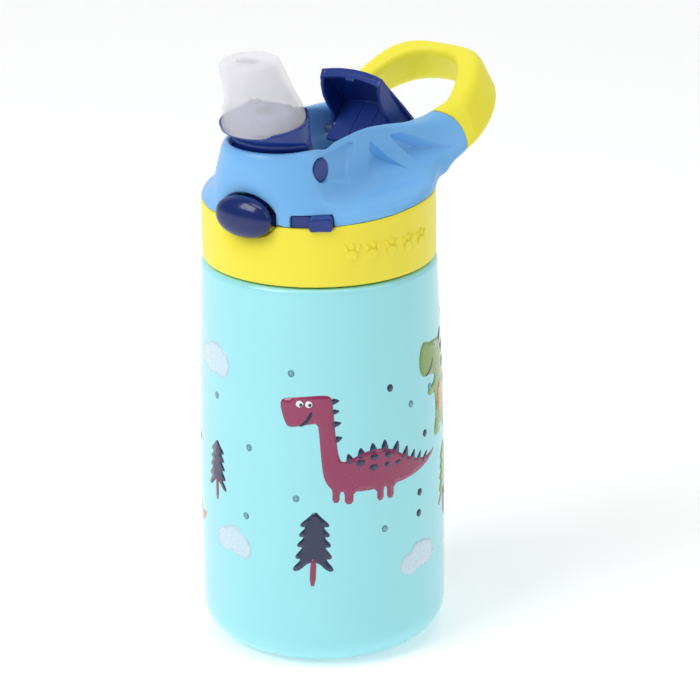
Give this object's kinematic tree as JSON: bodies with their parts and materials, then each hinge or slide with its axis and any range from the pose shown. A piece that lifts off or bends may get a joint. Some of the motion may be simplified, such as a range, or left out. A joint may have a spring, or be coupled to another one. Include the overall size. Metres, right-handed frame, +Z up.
{
  "type": "kids water bottle",
  "caption": "Double-walled steel kids water bottle with a screw-on lid, folding silicone spout, sprung cover, push button, lock and carrying loop.",
  "frame": {"origin": "centre of the base, on the surface that the bottle stands on", "axes": "+Z up along the bottle's axis, the button faces -Y and the carrying loop points to +Y"},
  "size_m": [0.072, 0.1074, 0.1808],
  "materials": {
    "body_paint": "glossy coat",
    "steel": "brushed",
    "silicone": "matte",
    "yellow_plastic": "satin",
    "yellow_grip": "satin",
    "white_plastic": "satin",
    "blue_plastic": "satin",
    "navy_plastic": "satin",
    "clear_silicone": "translucent",
    "straw_plastic": "translucent",
    "spring_steel": "polished"
  },
  "bodies": {
    "bottle": {"outer_shell": "body_paint", "inner_liner": "steel", "base_plate": "steel"},
    "seal": {"lid_seal": "silicone"},
    "lid": {"collar": "yellow_plastic", "deck": "white_plastic", "vent_valve": "silicone", "housing": "blue_plastic", "handle_grip": "yellow_grip", "drum_seal": "silicone", "straw": "straw_plastic", "spout_spring": "spring_steel", "cover_pin": "spring_steel", "cover_spring": "spring_steel", "button_spring": "spring_steel"},
    "spout_unit": {"spout_carrier": "navy_plastic", "spout": "clear_silicone"},
    "cover_unit": {"cover": "navy_plastic"},
    "button_unit": {"button": "navy_plastic"},
    "lock_unit": {"lock_slider": "navy_plastic"}
  },
  "joints": [
    {"name": "lid_lift", "type": "slide", "parent": "bottle", "child": "seal", "axis": [0, 0, 1], "range_m": [0, 0.00605]},
    {"name": "lid_turn", "type": "hinge", "parent": "seal", "child": "lid", "pos_m": [0, 0, 0.13], "axis": [0, 0, 1], "range_deg": [0, 540]},
    {"name": "spout_fold", "type": "hinge", "parent": "lid", "child": "spout_unit", "pos_m": [0, -0.02, 0.1485], "axis": [-1, 0, 0], "range_deg": [0, 118], "stiffness_Nm_per_rad": 0.01, "springref_deg": -20.05, "deforming": ["spout_spring"]},
    {"name": "cover_close", "type": "hinge", "parent": "lid", "child": "cover_unit", "pos_m": [0, 0.023, 0.146], "axis": [1, 0, 0], "range_deg": [0, 42], "stiffness_Nm_per_rad": 0.006, "springref_deg": -28.65, "deforming": ["cover_spring"]},
    {"name": "button_press", "type": "slide", "parent": "lid", "child": "button_unit", "axis": [0, 1, 0], "range_m": [0, 0.002], "stiffness_N_per_m": 600, "springref_m": -0.001, "deforming": ["button_spring"]},
    {"name": "lock_slide", "type": "hinge", "parent": "lid", "child": "lock_unit", "pos_m": [0, 0, 0.135], "axis": [0, 0, -1], "range_deg": [0, 8]}
  ],
  "couplings": [
    {"joint": "lid_lift", "follows": "lid_turn", "m_per_rad": 0.00063662}
  ]
}
